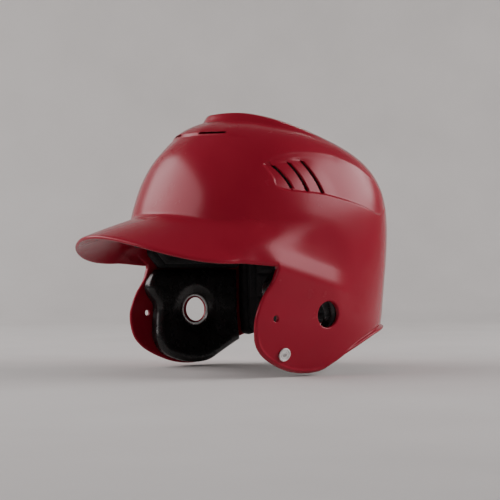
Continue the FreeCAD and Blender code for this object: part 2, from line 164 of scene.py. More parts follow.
def gauge(x, y, z):
    """1 on the outer face of the dome, growing in proportion to the distance from its core."""
    z = z + crown_dip(x, y)
    rise, drop = np.maximum(z, 0.0), np.maximum(-z, 0.0)
    height = np.maximum(CROWN_RISE - CROWN_SLOPE * (y + 10), 30.0)
    vertical = rise / height + drop / DROP_REACH
    along = y - CROWN_LEAN * np.minimum(rise / CROWN_RISE, 1.3) ** 2
    half_width = HALF_WIDTH * (1 - FLAP_TUCK * np.minimum(drop / 50.0, 2.0) ** 1.6)
    below = np.maximum(60.0 - z, 0.0) / 70.0
    reach = np.where(along < 0, FRONT_REACH, REAR_REACH * (1 - NAPE_TUCK * below ** 2))
    power = PLAN_POWER + np.where(along < 0, BROW_SQUARING * smoothstep((78.0 - z) / 38.0), 0.0)
    blend = 0.5 + 0.5 * np.tanh(along / 50.0)
    upper = FRONT_FULLNESS * (1 - blend) + REAR_FULLNESS * blend
    plan = (np.abs(x / half_width) ** power + np.abs(along / reach) ** power) ** (1 / power)
    return (plan ** upper + vertical ** upper) ** (1 / upper)


def depth_field(x, y, z):
    """Distance outside the dome's outer face, negative within."""
    step = 0.4
    here = gauge(x, y, z)
    slopes = [(gauge(x + step, y, z) - here) / step, (gauge(x, y + step, z) - here) / step,
              (gauge(x, y, z + step) - here) / step]
    return (here - 1) / np.maximum(np.sqrt(sum(s * s for s in slopes)), 1e-4)


# ------------------------------------------------------------------ outlines

NOTCH_TOP = (-57.0, 42.5)
NOTCH = (-53.2, 37.5)
FACE_EDGE = [(-190.0, 76.0), (-150.0, 73.0), (-122.0, 70.5), (-98.0, 65.0), (-76.0, 54.0), NOTCH_TOP]
FLAP_EDGE = [NOTCH, (-57.6, 27.0), (-66.5, 14.5), (-72.3, 0.0), (-73.0, -12.0), (-69.5, -25.0),
             (-58.5, -35.7), (-38.0, -45.0), (-19.0, -48.5), (0.0, -47.3), (14.0, -40.8),
             (30.0, -32.0), (52.0, -22.8), (80.0, -16.5), (150.0, -9.5), (190.0, -5.0)]
SIDE_LOW, SIDE_HIGH = (-180.0, -70.0), (140.0, 200.0)

side_view = Outline(np.vstack([smooth_path(FACE_EDGE), smooth_path([NOTCH_TOP, (-54.2, 41.0), NOTCH]),
                               smooth_path(FLAP_EDGE), [(190.0, 260.0), (-190.0, 260.0)]]),
                    SIDE_LOW, SIDE_HIGH)
SCOOP = [(-52.0, 123.5), (-42.0, 130.5), (-22.0, 135.8), (18.0, 134.5), (58.0, 120.0), (92.0, 96.0),
         (70.0, 84.0), (40.0, 90.8), (0.0, 98.5), (-40.0, 102.2), (-46.5, 112.0)]
scoop_view = Outline(smooth_path(SCOOP, closed=True), (-90.0, 60.0), (130.0, 170.0))
RIDGE = [(0.0, -49.5), (12.0, -47.5), (24.0, -41.5), (38.0, -30.5), (52.0, -14.5), (61.0, 1.0),
         (66.0, 20.0), (60.0, 55.0), (0.0, 80.0), (-60.0, 55.0), (-66.0, 20.0), (-61.0, 1.0),
         (-52.0, -14.5), (-38.0, -30.5), (-24.0, -41.5), (-12.0, -47.5)]
ridge_view = Outline(smooth_path(RIDGE, closed=True), (-70.0, -100.0), (70.0, 110.0))


# ------------------------------------------------------------------ relief of the outer face

# Each louvre slot from its top to its lower end, as (y, z).
SLOTS = [((-43.1, 121.8), (-31.0, 103.5)), ((-29.2, 124.7), (-16.5, 101.4)),
         ((-16.6, 126.4), (-1.5, 100.1))]
SLOT_BOW = 1.3
SLOT_SINK = 2.1         # depth of the face in front of a slot
LEADING_EDGE = 1.0      # depth of the face behind it
FRONT_RUN = 13.0
SCOOP_LOW = [-42.0, 0.0, 40.0, 80.0], [102.6, 98.5, 90.8, 82.0]
SCOOP_HIGH = [-50.0, -42.0, -22.0, 18.0, 58.0, 92.0], [124.5, 130.5, 135.8, 134.5, 120.0, 96.0]
LOUVRE_TOPS = [-43.0, -29.0, -16.6], [121.8, 124.7, 126.4]
RIDGE_RISE = 1.9
TERRACE_RISE = 1.5
LIP_INWARD, GROOVE_INWARD = 2.2, 4.6
SHOULDER_TILT = 0.19


def slot_offset(y, z, slot):
    """Distance behind a louvre slot's line, and the share of its length from its top to z."""
    (top_y, top_z), (low_y, low_z) = slot
    share = (top_z - z) / (top_z - low_z)
    held = np.clip(share, 0.0, 1.0)
    line = top_y + (low_y - top_y) * share + SLOT_BOW * 4 * held * (1 - held)
    lean = math.hypot(top_z - low_z, low_y - top_y) / (top_z - low_z)
    return (y - line) / lean, share


def louvre_relief(y, z, floor):
    """The front face falls to the first slot; behind each slot a face starts higher and falls again."""
    starts = [slot_offset(y, z, slot)[0] for slot in SLOTS]
    relief = -SLOT_SINK * np.clip((starts[0] + FRONT_RUN) / FRONT_RUN, 0.0, 1.0)
    for here, after in zip(starts, starts[1:]):
        share = np.clip(here / np.maximum(here - after, 1e-6), 0.0, 1.0)
        relief = np.where(here >= 0, -LEADING_EDGE - (SLOT_SINK - LEADING_EDGE) * share, relief)
    away = ramp(starts[-1], 0.0, 16.0)
    return np.where(starts[-1] >= 0, -LEADING_EDGE * (1 - away) + floor * away, relief)


def scoop_relief(x, y, z):
    """A flat facet that cuts deeper towards its lower edge, with the louvres in its front part."""
    edge = scoop_view(y, z)
    low, high = np.interp(y, *SCOOP_LOW), np.interp(y, *SCOOP_HIGH)
    share = np.clip((high - z) / (high - low), 0.0, 1.0)
    floor = -(2.0 * share + 3.4 * share * (1 - share)) * (1 - 0.8 * ramp(y, 40.0, 95.0))
    slot_tops = np.interp(y, *LOUVRE_TOPS)
    slotted = ramp(z, slot_tops + 4.0, slot_tops) * (1 - ramp(y, 12.0, 26.0))
    relief = floor * (1 - slotted) + louvre_relief(y, z, floor) * slotted
    width = 1.6 + 2.4 * ramp(z, 106.0, 122.0)
    return ramp(edge, 0.4, -width) * relief * (np.abs(x) > SIDE_START)


def crown_relief(x, y, z):
    """The ridge that stands over the sunken part of the crown, and the low step in front of it."""
    across = np.abs(x)
    above_dome = RIDGE_RISE * (1 - ramp(y, -5.0, 80.0)) * (1 - ramp(across, 20.0, 64.0))
    ridge = (0.93 * crown_dip(x, y) + above_dome) * ramp(ridge_view(x, y), 1.6, -4.2)
    front = -73.5 + 11.0 * (across / 40.0) ** 2
    terrace = TERRACE_RISE * ramp(y - front, -0.8, 1.4) * (1 - ramp(y - front, 1.4, 24.0))
    terrace = terrace * (1 - ramp(across, 34.0, 60.0))
    return (z > 110) * (ridge + terrace)


def rim_relief(y, z):
    """The flared lip at the neck with the groove above it, and the bead along the flap's lower edge."""
    inward = -side_view(y, z)
    neck = ramp(y, 22.0, 46.0)
    flare = 1.5 + 2.3 * ramp(y, 60.0, 112.0)
    lip = flare * ramp(inward, 4.0, LIP_INWARD) - 0.8 * np.exp(-((inward - GROOVE_INWARD) / 0.9) ** 2)
    bead = 0.7 * np.exp(-((inward - LIP_INWARD) / 1.2) ** 2) * ramp(z, -5.0, -30.0)
    return neck * lip + (1 - neck) * bead


def temple_relief(x, y, z):
    """The shoulder that runs back and down from the end of the peak, above the ear."""
    above = z - 39.0 + 0.28 * y
    upper = -1.2 * (1 - np.exp(-np.maximum(above, 0.0) / 6.3)) * (1 - ramp(above, 12.0, 42.0))
    lower = SHOULDER_TILT * soft_min(-above, 13.0, 4.0) * (1 - ramp(-above, 12.0, 46.0))
    along = ramp(y, -74.0, -50.0) * (1 - ramp(y, 2.0, 32.0))
    return np.where(above > 0, upper, lower) * along * (np.abs(x) > SIDE_START)


# ------------------------------------------------------------------ the peak

PEAK_HALF_WIDTH = 92.4
PEAK_CENTRE = -87.8
PEAK_REACH = 80.0
PEAK_LOW, PEAK_BOW = 42.8, 21.5
PEAK_CORE = -30.0       # bearings and distances of the peak are taken from here
PEAK_THICKNESS = 4.2
MERGE_FROM, FLUSH_FROM, FLUSH_TO = 0.74, 0.76, 0.9       # bearings, in radians


def peak_edge(turn):
    """The peak's outer edge: an ellipse in front, then straight back, sinking in at the temple."""
    angle = np.radians(np.minimum(turn, 90.0))
    back = np.maximum(turn - 90.0, 0.0) / 30.0
    x = PEAK_HALF_WIDTH * np.sin(angle) + 4.2 * np.minimum(back, 1.0) - 9.0 * np.maximum(back - 1.0, 0)
    y = PEAK_CENTRE - PEAK_REACH * np.cos(angle) + 31.0 * back
    z = PEAK_LOW + PEAK_BOW * np.cos(angle) ** 2.5 - 3.0 * back
    return x, y, z


def crease_height(y):
    """Where the top of the peak leaves the dome."""
    return 82.0 - 0.42 * (y + 110.0)


def crease(x, y):
    """Where the dome meets the peak, in line with an edge point seen from the core."""
    low, high = np.full_like(x, 0.2), np.full_like(x, 1.5)
    for _ in range(30):
        middle = (low + high) / 2
        at_y = PEAK_CORE + (y - PEAK_CORE) * middle
        outside = gauge(x * middle, at_y, crease_height(at_y)) > 1
        low, high = np.where(outside, low, middle), np.where(outside, middle, high)
    at_y = PEAK_CORE + (y - PEAK_CORE) * low
    return x * low, at_y, crease_height(at_y)


class Peak:
    """Edge and crease as tables over the bearing from the core, read by interpolation."""

    def __init__(self):
        x, y, z = peak_edge(np.linspace(0.0, 150.0, 400))
        self.bearing = np.arctan2(x, PEAK_CORE - y)
        keep = np.concatenate([[True], np.diff(np.maximum.accumulate(self.bearing)) > 1e-6])
        self.bearing = self.bearing[keep]
        cx, cy, cz = crease(x[keep], y[keep])
        self.edge = np.hypot(x, y - PEAK_CORE)[keep], z[keep]
        self.crease = np.hypot(cx, cy - PEAK_CORE), cz

    def field(self, x, y, z, depth, outer):
        """The sheet of the peak; at the temples its outer face runs into the dome's."""
        bearing = np.arctan2(np.abs(x), PEAK_CORE - y)
        out, rise = [np.interp(bearing, self.bearing, t) for t in self.edge]
        near, top = [np.interp(bearing, self.bearing, t) for t in self.crease]
        near = near - 1.2 - 3.5 * ramp(bearing, 0.95, 1.5)
        run, fall = out - near, rise - top
        length = np.maximum(np.hypot(run, fall), 1.0)
        r, h = np.hypot(x, y - PEAK_CORE) - near, z - top
        along = (r * run + h * fall) / length
        above = (h * run - r * fall) / length
        share = np.clip(along / length, -0.2, 1.2)
        above = above - 0.7 * np.clip(4 * share * (1 - share), 0, 1) * (length / 60.0)
        flush = ramp(bearing, FLUSH_FROM, FLUSH_TO)
        fillet = 0.05 + 3.0 * (1 - ramp(bearing, 1.0, 1.34))
        outermost = above + flush * (soft_min(above, outer, fillet) - above)
        thickness = PEAK_THICKNESS - 0.5 * share
        sheet = np.abs(outermost + thickness / 2) - thickness / 2
        body = soft_max(sheet, along - length, 3.0)
        body = np.maximum(body, -along - 13.0)
        # Past the temple the sheet is faded out, and behind the core there is none.
        behind = (y > PEAK_CORE + 5.0) * 50.0 + 12.0 * ramp(bearing, 1.38, 1.6)
        return soft_max(body, -(depth + WALL * (0.6 + 0.6 * flush)), 1.0) + behind


peak = Peak()


# ------------------------------------------------------------------ the shell

EAR_RADIUS = 10.75
GUARD_Y, GUARD_Z, GUARD_RADIUS = -54.0, -2.4, 2.5
SNAP_Y, SNAP_Z = -42.3, -31.6
RIVET_BORE = 1.6
CROWN_SLOT_Z = 151.3
CROWN_SLOT_FROM, CROWN_SLOT_TO = 13.0, 38.0


def snap_seat():
    """Where the left snap sits on the flap, and the way that it points."""
    low, high = 60.0, 110.0
    for _ in range(30):
        middle = (low + high) / 2
        outside = gauge(middle, SNAP_Y, SNAP_Z) > 1
        low, high = (low, middle) if outside else (middle, high)
    seat = np.array([low, SNAP_Y, SNAP_Z])
    normal = gradient(depth_field, seat[None])[0]
    return seat, normal / np.linalg.norm(normal)


SEAT, SEAT_NORMAL = snap_seat()


def snap_distance(x, y, z):
    """Distance from the left snap's axis, and height along it above the flap's face."""
    rel = [x - SEAT[0], y - SEAT[1], z - SEAT[2]]
    height = sum(r * n for r, n in zip(rel, SEAT_NORMAL))
    return np.sqrt(np.maximum(sum(r * r for r in rel) - height ** 2, 0.0)), height


def slot_cut(x, y, z):
    """Negative inside the three louvre slots of a side."""
    cut = np.full_like(y, 1e3)
    for slot in SLOTS:
        across, share = slot_offset(y, z, slot)
        ends = np.maximum(-share, share - 1) * abs(slot[0][1] - slot[1][1])
        width = 1.2 - 0.1 * np.clip(share, 0, 1)
        cut = np.minimum(cut, np.maximum(np.abs(across - 0.5) - width, ends))
    return np.where(np.abs(x) > SIDE_START, cut, 1e3)


def crown_slot_cut(x, y, z):
    """Negative inside the two thin slots at the foot of the terrace."""
    across = np.abs(x)
    middle = CROWN_SLOT_Z - 0.012 * (across - 14.0)
    ends = np.maximum(CROWN_SLOT_FROM - across, across - CROWN_SLOT_TO)
    return np.maximum(np.maximum(np.abs(z - middle) - 0.75, ends), y + 30.0)


def shell_field(x, y, z):
    """The whole moulding: the wall between two faces, the peak, and everything cut through them."""
    depth = depth_field(x, y, z)
    relief = scoop_relief(x, y, z) + crown_relief(x, y, z) + rim_relief(y, z) + temple_relief(x, y, z)
    outer = depth - relief
    inner = depth + np.maximum(WALL, 1.8 - relief)
    wall = soft_max(outer, -inner, 1.2)
    wall = soft_max(wall, side_view(y, z), 2.2)
    sheet = peak.field(x, y, z, depth, outer)
    merge = 3.0 - 2.95 * ramp(np.arctan2(np.abs(x), PEAK_CORE - y), MERGE_FROM, FLUSH_TO)
    body = np.maximum(soft_min(wall, sheet, merge), -inner)
    # Each hole, and how much its edge is rounded.
    holes = [(np.hypot(y, z) - EAR_RADIUS, 1.6),
             (np.hypot(y - GUARD_Y, z - GUARD_Z) - GUARD_RADIUS, 0.9),
             (snap_distance(x, y, z)[0] - RIVET_BORE, 0.3),
             (slot_cut(x, y, z), 0.7), (crown_slot_cut(x, y, z), 0.5)]
    for hole, rounding in holes:
        body = soft_max(body, -hole, rounding)
    return body


# ------------------------------------------------------------------ meshing a field

BLOCK = 8
BATCH = 600
NEAR = 1.15             # in block widths: how near the surface a block is sampled in full


def sample_field(field, low, count, step):
    """Field values on a grid; blocks far from the surface only get the sign of their middle."""
    blocks = -(-count // BLOCK)
    span = BLOCK * step
    centres = [low[k] + span * (np.arange(blocks[k]) + 0.5) - step / 2 for k in range(3)]
    at = np.meshgrid(*centres, indexing="ij")
    middle = field(*at)
    values = np.repeat(np.repeat(np.repeat(np.sign(middle), BLOCK, 0), BLOCK, 1), BLOCK, 2)
    values = values.astype(np.float32)
    grid = values.reshape(blocks[0], BLOCK, blocks[1], BLOCK, blocks[2], BLOCK)
    near = np.argwhere(np.abs(middle) < span * NEAR)
    local = step * np.arange(BLOCK)
    for part in np.array_split(near, max(1, len(near) // BATCH)):
        corner = low + span * part
        x, y, z = [corner[:, k].reshape(-1, 1, 1, 1) + local.reshape(np.where(np.arange(3) == k, -1, 1))
                   for k in range(3)]
        x, y, z = np.broadcast_arrays(x, y, z)
        grid[part[:, 0], :, part[:, 1], :, part[:, 2], :] = field(x, y, z)
    return values[:count[0], :count[1], :count[2]]


def surface_net(field, low, high, step):
    """Vertices and quads of the face where the field is 0: one vertex in each cell that it crosses."""
    low = np.array(low, float)
    count = ((np.array(high) - low) / step).astype(int) + 1
    values = sample_field(field, low, count, step)
    inside = values < 0
    corners = [(i, j, k) for i in (0, 1) for j in (0, 1) for k in (0, 1)]
    views = [inside[i:count[0] - 1 + i, j:count[1] - 1 + j, k:count[2] - 1 + k] for i, j, k in corners]
    mixed = np.logical_or.reduce(views) & ~np.logical_and.reduce(views)
    cells = np.argwhere(mixed)
    index = np.full(mixed.shape, -1, np.int64)
    index[mixed] = np.arange(len(cells))
    total, hits = np.zeros((len(cells), 3)), np.zeros(len(cells))
    for a in corners:
        for axis in range(3):
            if a[axis] == 1:
                continue
            b = np.array(a)
            b[axis] = 1
            va, vb = [values[tuple((cells + c).T)].astype(float) for c in (np.array(a), b)]
            crosses = (va < 0) != (vb < 0)
            share = np.where(crosses, va / np.where(crosses, va - vb, 1.0), 0.0)
            point = cells + np.array(a) + share[:, None] * (b - np.array(a))
            total += np.where(crosses[:, None], point, 0.0)
            hits += crosses
    vertices = low + step * total / hits[:, None]
    quads = []
    for axis in range(3):
        b, c = (axis + 1) % 3, (axis + 2) % 3
        first, second = [slice(None)] * 3, [slice(None)] * 3
        first[axis], second[axis] = slice(0, -1), slice(1, None)
        change = inside[tuple(first)] != inside[tuple(second)]
        edges = np.argwhere(change)
        edges = edges[(edges[:, b] > 0) & (edges[:, c] > 0)
                      & (edges[:, b] < count[b] - 1) & (edges[:, c] < count[c] - 1)]
        db, dc = np.eye(3, dtype=int)[b], np.eye(3, dtype=int)[c]
        ring = np.stack([index[tuple((edges - o).T)] for o in (0 * db, db, db + dc, dc)], 1)
        leaving = inside[tuple(edges.T)]
        ring[~leaving] = ring[~leaving][:, ::-1]
        quads.append(ring)
    quads = np.vstack(quads)
    return vertices, quads[(quads >= 0).all(1)], cells


def settle(field, points, reach, rounds=3):
    """Moves points onto the field's face, at most reach in each round."""
    for _ in range(rounds):
        slope = gradient(field, points)
        move = -field(*points.T)[:, None] * slope / np.maximum((slope ** 2).sum(1), 1e-3)[:, None]
        length = np.linalg.norm(move, axis=1, keepdims=True)
        points = points + move * np.minimum(1.0, reach / np.maximum(length, 1e-9))
    return points


def mirror_mesh(vertices, quads, seam):
    """Adds the -X half; seam marks the vertices that both halves share."""
    vertices = vertices.copy()
    vertices[seam, 0] = 0.0
    other = np.arange(len(vertices))
    other[~seam] = len(vertices) + np.arange((~seam).sum())
    flipped = vertices[~seam] * (-1, 1, 1)
    return np.vstack([vertices, flipped]), np.vstack([quads, other[quads][:, ::-1]])


def place(name, data):
    """A new object in the scene, showing the data."""
    obj = bpy.data.objects.new(name, data)
    bpy.context.scene.collection.objects.link(obj)
    return obj


def make_object(name, vertices, quads):
    """A smooth mesh object from millimetre vertices and quads."""
    mesh = bpy.data.meshes.new(name)
    mesh.vertices.add(len(vertices))
    mesh.vertices.foreach_set("co", (vertices * MM).ravel())
    mesh.loops.add(quads.size)
    mesh.loops.foreach_set("vertex_index", quads.ravel().astype(np.int32))
    mesh.polygons.add(len(quads))
    mesh.polygons.foreach_set("loop_start", np.arange(0, quads.size, quads.shape[1], dtype=np.int32))
    mesh.update(calc_edges=True)
    mesh.validate()
    mesh.shade_smooth()
    return place(name, mesh)


def thin_out(obj, share):
    """Fewer faces where the surface is flat; edges and grooves keep theirs."""
    obj.modifiers.new("thin", "DECIMATE").ratio = share
    graph = bpy.context.evaluated_depsgraph_get()
    mesh = bpy.data.meshes.new_from_object(obj.evaluated_get(graph))
    obj.modifiers.clear()
    obj.data = mesh


def true_normals(obj, field):
    """Shading normals straight from the field, so that gloss shows no facets."""
    mesh = obj.data
    points = np.empty(len(mesh.vertices) * 3)
    mesh.vertices.foreach_get("co", points)
    points = points.reshape(-1, 3) / MM
    slope = gradient(field, points, 0.15)
    slope /= np.maximum(np.linalg.norm(slope, axis=1, keepdims=True), 1e-9)
    mesh.shade_smooth()
    mesh.normals_split_custom_set_from_vertices(slope.tolist())
    return obj


def finish_mesh(name, field, low, high, step, thin, mirrored=True):
    """Meshes the +X half of a field; its mirror is joined on, or left to the caller."""
    vertices, quads, cells = surface_net(field, low, high, step)
    vertices = settle(field, vertices, step * 0.5)
    if mirrored:
        vertices, quads = mirror_mesh(vertices, quads, cells[:, 0] == 0)
    obj = make_object(name, vertices, quads)
    thin_out(obj, thin)
    return obj


def mirror_object(obj, name):
    """The same piece on the other side of the middle plane."""
    other = obj.copy()
    other.data = obj.data.copy()
    other.name = other.data.name = name
    other.data.transform(Matrix.Diagonal((-1, 1, 1, 1)))
    other.data.flip_normals()
    bpy.context.scene.collection.objects.link(other)
    return other


def paint(obj, look):
    """Gives an object one material."""
    obj.data.materials.clear()
    obj.data.materials.append(look)


def declare(piece, node):
    """Every piece rides on the one body and stands for one CAD node."""
    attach(piece, "root")
    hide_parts(node)


def build_shell():
    step = 0.8
    low, high = (-step / 2, -176.0, -56.0), (108.0, 122.0, 178.0)
    obj = finish_mesh("shell_moulding", shell_field, low, high, step, 0.23)
    return true_normals(obj, lambda x, y, z: shell_field(np.abs(x), y, z))


shell = build_shell()
declare(shell, "shell")


# ------------------------------------------------------------------ foam liners and pads

LINER_TOP, LINER_BOTTOM = 3.8, 12.3
PAD_TOP, PAD_BOTTOM = 12.6, 17.1
PAD_INSET = 3.0
REAR_GAP = 9.0
# The outlines of the foam in side view, as (y, z); 150 either way is beyond the shell.
REGIONS = {
    "front": [(-150.0, 78.0), (-106.0, 74.5), (-80.0, 64.0), (-67.0, 56.0), (-60.0, 108.0),
              (-150.0, 108.0)],
    "side": [(-57.0, 48.0), (-47.0, 38.0), (41.0, 38.0), (41.0, 108.0), (-52.5, 108.0)],
    "rear": [(44.0, -24.0), (60.0, -18.6), (90.0, -13.4), (150.0, -7.4), (150.0, 100.0), (44.0, 104.0)],
    "crown": [(-150.0, 111.0), (44.0, 111.0), (150.0, 103.0), (150.0, 200.0), (-150.0, 200.0)]}
EAR_PAD = [(-48.0, 36.5), (-53.5, 31.5), (-58.0, 24.5), (-58.8, 18.0), (-55.0, 11.5), (-51.0, 6.5),
           (-49.5, 0.0), (-51.5, -14.0), (-52.0, -27.0), (-43.5, -40.0), (-20.0, -47.0),
           (0.0, -46.0), (16.0, -39.0), (37.0, -28.0)]
EAR_CORNER = (37.0, 36.5)
FUNNEL_RADIUS, FUNNEL_Y, FUNNEL_DEPTH = 15.5, -13.0, 21.0
SNAP_POCKET = 6.4
BORDER = 7.0            # from a cushion's edge to its pressed border line
PRESSED_DEPTH = 1.5
ROW_PITCH = 22.0


def inset(points, amount):
    """A smaller copy of a region, each point moved towards the middle both ways."""
    p = np.array(points)
    return p - amount * np.sign(p - p.mean(0))


def rounded_region(points, corner):
    """Distance to a region whose corners are rounded."""
    table = Outline(inset(points, corner), (-170.0, -60.0), (160.0, 210.0), 1.0)
    return lambda y, z: table(y, z) - corner


def layer(region, top, bottom, rim, swell=0.0, one_sided=False, grooves=None):
    """A field for foam between two depths; its inner face falls away towards its edges."""
    def field(x, y, z):
        depth = -depth_field(x, y, z)
        edge = region(y, z)
        if one_sided:
            edge = soft_max(edge, REAR_GAP - x, 6.0)
        face = bottom - swell * (1 - smoothstep(-edge / 12.0))
        if grooves:
            face = face - grooves(x, y, z, edge)
        slab = soft_max(top - depth, depth - face, rim)
        return soft_max(slab, edge, rim)
    return field


ear_region = rounded_region(np.vstack([smooth_path(EAR_PAD, steps=6), [EAR_CORNER]]), 0.01)


def ear_pad_field(x, y, z):
    """The thick pad in the flap, with a funnel over the ear and a pocket around the snap's washer."""
    depth = -depth_field(x, y, z)
    edge = ear_region(y, z)
    share = np.clip(depth / FUNNEL_DEPTH, 0.0, 1.0)
    wide = EAR_RADIUS + (FUNNEL_RADIUS - EAR_RADIUS) * share - np.hypot(y - FUNNEL_Y * share, z)
    slab = soft_max(LINER_TOP - depth, depth - PAD_BOTTOM + 3.0 * ramp(wide, -9.0, 1.0), 2.0)
    rim = 3.0 + 5.0 * ramp(depth, 6.0, 15.0)
    body = soft_max(slab, edge, rim)
    body = soft_max(body, wide, 3.5)
    across, height = snap_distance(x, y, z)
    return np.maximum(body, np.minimum(SNAP_POCKET - across, height + 9.5))


def pressed_lines(x, y, z, edge):
    """A pressed border line and level quilting lines."""
    border = np.exp(-((edge + BORDER) / 1.3) ** 2)
    inside = ramp(edge, -BORDER, -BORDER - 2.0)
    rows = np.exp(-((np.mod(z, ROW_PITCH) - ROW_PITCH / 2) / 1.5) ** 2) * inside
    return PRESSED_DEPTH * np.maximum(border, rows)


def crown_lines(x, y, z, edge):
    """Pressed lines across the crown pad, and one along its middle."""
    border = np.exp(-((edge + BORDER) / 1.3) ** 2)
    inside = ramp(edge, -BORDER, -BORDER - 2.0)
    across = np.exp(-((np.mod(y + 16.0, 32.0) - 16.0) / 1.6) ** 2)
    along = np.exp(-((np.mod(x + 18.0, 36.0) - 18.0) / 1.6) ** 2)
    return PRESSED_DEPTH * np.maximum(border, inside * np.maximum(across, along))


def liner(region, one_sided):
    """Impact foam against the shell."""
    return layer(rounded_region(region, 4.0), LINER_TOP, LINER_BOTTOM, 3.0, one_sided=one_sided)


def cushion(region, one_sided, grooves):
    """A soft pad on the liner, crowned, with its lines pressed in."""
    return layer(rounded_region(inset(region, PAD_INSET), 5.0), PAD_TOP, PAD_BOTTOM, 2.5, 1.6,
                 one_sided=one_sided, grooves=grooves)


def box_around(points, start_x):
    """The box to mesh a piece in, and the size of its cells."""
    p = np.array(points)
    margin = 4.0
    step = 1.2
    low = (-step / 2 if start_x is None else start_x, max(p[:, 0].min() - margin, -118.0),
           p[:, 1].min() - margin)
    high = (98.0, min(p[:, 0].max() + margin, 118.0), min(p[:, 1].max() + margin, 172.0))
    return low, high, step


def add_foam(name, node, field, points, look, both_sides):
    """Meshes a foam piece; a piece of each side is made once and mirrored."""
    low, high, step = box_around(points, 2.0 if both_sides else None)
    first = f"left_{name}" if both_sides else name
    obj = finish_mesh(first, field, low, high, step, 0.5, mirrored=not both_sides)
    made = [(obj, f"left_{node}" if both_sides else node)]
    if both_sides:
        made.append((mirror_object(obj, f"right_{name}"), f"right_{node}"))
    for piece, stands_for in made:
        declare(piece, stands_for)
        paint(piece, look)


# ------------------------------------------------------------------ materials

def texture(tree, kind, scale, stretch=(1, 1, 1), **settings):
    """A noise or cell texture over the object's own coordinates, in metres."""
    place = tree.nodes.new("ShaderNodeTexCoord")
    shape = tree.nodes.new("ShaderNodeMapping")
    shape.inputs["Scale"].default_value = stretch
    made = tree.nodes.new(kind)
    made.inputs["Scale"].default_value = scale
    for name, value in settings.items():
        made.inputs[name].default_value = value
    tree.links.new(place.outputs["Object"], shape.inputs["Vector"])
    tree.links.new(shape.outputs["Vector"], made.inputs["Vector"])
    return made


def spread(tree, source, low, high, start=0.3, end=0.7):
    """The source's middle range mapped onto low to high."""
    made = tree.nodes.new("ShaderNodeMapRange")
    for name, value in (("From Min", start), ("From Max", end), ("To Min", low), ("To Max", high)):
        made.inputs[name].default_value = value
    tree.links.new(source, made.inputs["Value"])
    return made.outputs["Result"]


def add_bump(tree, source, height, below=None):
    """A bump of the given height in metres, laid over another one."""
    made = tree.nodes.new("ShaderNodeBump")
    made.inputs["Distance"].default_value = height
    tree.links.new(source, made.inputs["Height"])
    if below:
        tree.links.new(below, made.inputs["Normal"])
    return made.outputs["Normal"]


def material(name, dark, light, roughness, mottle=40.0, gloss=0.5, metallic=0.0, coat=0.0):
    """Colour between dark and light and roughness within a range, both varied over the surface."""
    made = bpy.data.materials.new(name)
    made.use_nodes = True
    tree = made.node_tree
    shader = tree.nodes["Principled BSDF"]
    shader.inputs["Specular IOR Level"].default_value = gloss
    shader.inputs["Metallic"].default_value = metallic
    shader.inputs["Coat Weight"].default_value = coat
    patches = texture(tree, "ShaderNodeTexNoise", mottle, Detail=4.0)
    blend = tree.nodes.new("ShaderNodeMix")
    blend.data_type = "RGBA"
    blend.inputs["A"].default_value = (*dark, 1.0)
    blend.inputs["B"].default_value = (*light, 1.0)
    tree.links.new(spread(tree, patches.outputs["Fac"], 0.0, 1.0), blend.inputs["Factor"])
    tree.links.new(blend.outputs["Result"], shader.inputs["Base Color"])
    smears = texture(tree, "ShaderNodeTexNoise", mottle * 1.7, Detail=6.0, Roughness=0.6)
    tree.links.new(spread(tree, smears.outputs["Fac"], *roughness), shader.inputs["Roughness"])
    return made, tree, shader


def moulded_red():
    """Glossy ABS: faint orange peel, fine scuffs that dull it a little, and pinkish highlights."""
    made, tree, shader = material("moulded_red", (0.285, 0.0085, 0.025), (0.305, 0.011, 0.028),
                                  (0.23, 0.28), mottle=18.0, gloss=0.28)
    shader.inputs["Specular Tint"].default_value = (1.0, 0.66, 0.70, 1.0)
    peel = texture(tree, "ShaderNodeTexNoise", 420.0, Detail=2.0)
    scuffs = texture(tree, "ShaderNodeTexNoise", 160.0, (1, 1, 7), Detail=3.0, Distortion=1.5)
    fine = add_bump(tree, spread(tree, scuffs.outputs["Fac"], 0.0, 1.0, 0.60, 0.72), 0.000003)
    tree.links.new(add_bump(tree, peel.outputs["Fac"], 0.00003, fine), shader.inputs["Normal"])
    return made


def bead_foam():
    """Moulded impact foam: packed beads with fine pores on each."""
    made, tree, shader = material("impact_foam", (0.008, 0.008, 0.009), (0.016, 0.016, 0.017),
                                  (0.66, 0.85), mottle=120.0)
    beads = texture(tree, "ShaderNodeTexVoronoi", 330.0)
    pores = texture(tree, "ShaderNodeTexNoise", 1500.0, Detail=3.0)
    fine = add_bump(tree, pores.outputs["Fac"], 0.00012)
    tree.links.new(add_bump(tree, beads.outputs["Distance"], -0.0006, fine), shader.inputs["Normal"])
    return made


def knit_cover():
    """The soft pads' knitted cover: small loops in rows, with a little sheen."""
    made, tree, shader = material("comfort_foam", (0.009, 0.009, 0.010), (0.018, 0.018, 0.020),
                                  (0.5, 0.66), mottle=90.0)
    shader.inputs["Sheen Weight"].default_value = 0.15
    loops = texture(tree, "ShaderNodeTexVoronoi", 620.0, (1, 1, 1.8))
    nap = texture(tree, "ShaderNodeTexNoise", 2200.0, Detail=2.0)
    fine = add_bump(tree, nap.outputs["Fac"], 0.00008)
    tree.links.new(add_bump(tree, loops.outputs["Distance"], -0.0003, fine), shader.inputs["Normal"])
    return made


